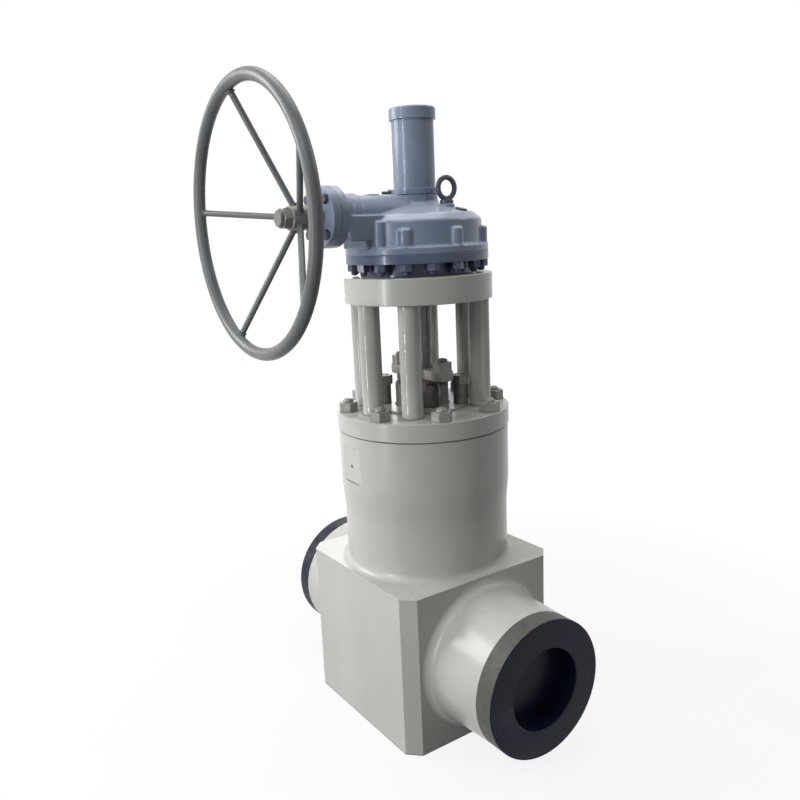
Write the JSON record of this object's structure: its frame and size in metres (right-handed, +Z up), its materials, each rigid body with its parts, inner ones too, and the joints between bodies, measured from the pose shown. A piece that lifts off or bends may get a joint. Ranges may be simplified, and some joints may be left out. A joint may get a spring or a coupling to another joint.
{
  "type": "gear operated gate valve",
  "caption": "Pressure-seal gate valve with a forged body, butt-weld ends, an outside yoke of round bars and a bevel gear operator with a side handwheel.",
  "frame": {"origin": "middle of the forged block's lower face, where the valve stands", "axes": "+Z up along the stem, X along the flow, the handwheel towards -Y; built closed"},
  "size_m": [0.9266, 0.719, 1.668],
  "materials": {
    "body_paint": "semi-gloss light grey paint over steel",
    "gear_paint": "semi-gloss blue-grey paint over cast iron",
    "wheel_paint": "satin grey paint over steel",
    "dark_bolts": "dark coated studs and nuts",
    "dark_steel": "dark turned steel",
    "bright_steel": "ground and polished steel",
    "gear_steel": "machined steel with a film of grease",
    "bronze": "machined bronze",
    "packing": "braided and pressed graphite",
    "seal_rubber": "black seal rubber",
    "cap_plastic": "navy-black moulded plastic"
  },
  "bodies": {
    "valve": {"back_seat_bush": "bronze", "bonnet": "bright_steel", "bonnet_flange": "body_paint", "casing_nuts": "dark_bolts", "casing_studs": "dark_bolts", "cover_lock_screw": "dark_bolts", "flange_nuts": "dark_bolts", "flange_studs": "dark_bolts", "gearbox_adaptor": "gear_paint", "gearbox_base": "gear_paint", "gearbox_casing": "gear_paint", "gland_flange": "dark_steel", "gland_follower": "dark_steel", "gland_nuts": "dark_bolts", "gland_studs": "dark_steel", "input_bearings": "gear_steel", "input_cover": "gear_paint", "input_cover_bolts": "dark_bolts", "input_seal": "seal_rubber", "lifting_eye": "gear_paint", "lower_thrust_bearing": "gear_steel", "neck_bush": "bronze", "oil_plug": "dark_bolts", "packing_rings": "packing", "seal_ring": "gear_steel", "seat_ring_far": "bright_steel", "seat_ring_near": "bright_steel", "segment_ring": "bright_steel", "spacer_ring": "bright_steel", "stem_cover_cap": "gear_paint", "stem_cover_collar": "gear_paint", "stem_cover_tube": "gear_paint", "sunk_screws": "dark_bolts", "take_up_nuts": "dark_bolts", "take_up_sleeves": "dark_steel", "take_up_studs": "dark_steel", "upper_thrust_bearing": "gear_steel", "valve_body": "body_paint", "yoke_pillar_1": "body_paint", "yoke_pillar_2": "body_paint", "yoke_pillar_3": "body_paint", "yoke_pillar_4": "body_paint", "yoke_pillar_5": "body_paint", "yoke_pillar_6": "body_paint", "yoke_plate": "body_paint"},
    "handwheel": {"handwheel_rim": "wheel_paint", "handwheel_spokes": "wheel_paint", "handwheel_hub": "wheel_paint", "wheel_nut": "dark_bolts", "wheel_key": "dark_steel", "input_shaft": "bright_steel", "bevel_pinion": "gear_steel", "pinion_key": "gear_steel"},
    "drive_sleeve": {"drive_sleeve": "bronze", "bevel_gear": "gear_steel", "gear_key": "gear_steel"},
    "stem": {"stem": "bright_steel", "wedge": "bright_steel"},
    "near_cap": {"end_cap_near": "cap_plastic"},
    "far_cap": {"end_cap_far": "cap_plastic"}
  },
  "joints": [
    {"name": "handwheel_turn", "type": "hinge", "parent": "valve", "child": "handwheel", "pos_m": [0, -0.36, 1.346], "axis": [0, -1, 0], "range_deg": [0, 21600]},
    {"name": "sleeve_turn", "type": "hinge", "parent": "valve", "child": "drive_sleeve", "pos_m": [0, 0, 1.346], "axis": [0, 0, 1], "range_deg": [0, 7200]},
    {"name": "stem_lift", "type": "slide", "parent": "valve", "child": "stem", "axis": [0, 0, 1], "range_m": [0, 0.24]},
    {"name": "near_cap_pull", "type": "slide", "parent": "valve", "child": "near_cap", "axis": [1, 0, 0], "range_m": [0, 0.3]},
    {"name": "far_cap_pull", "type": "slide", "parent": "valve", "child": "far_cap", "axis": [-1, 0, 0], "range_m": [0, 0.3]}
  ],
  "couplings": [
    {"joint": "sleeve_turn", "follows": "handwheel_turn", "ratio": 0.33333},
    {"joint": "stem_lift", "follows": "handwheel_turn", "m_per_rad": 0.00063661}
  ]
}
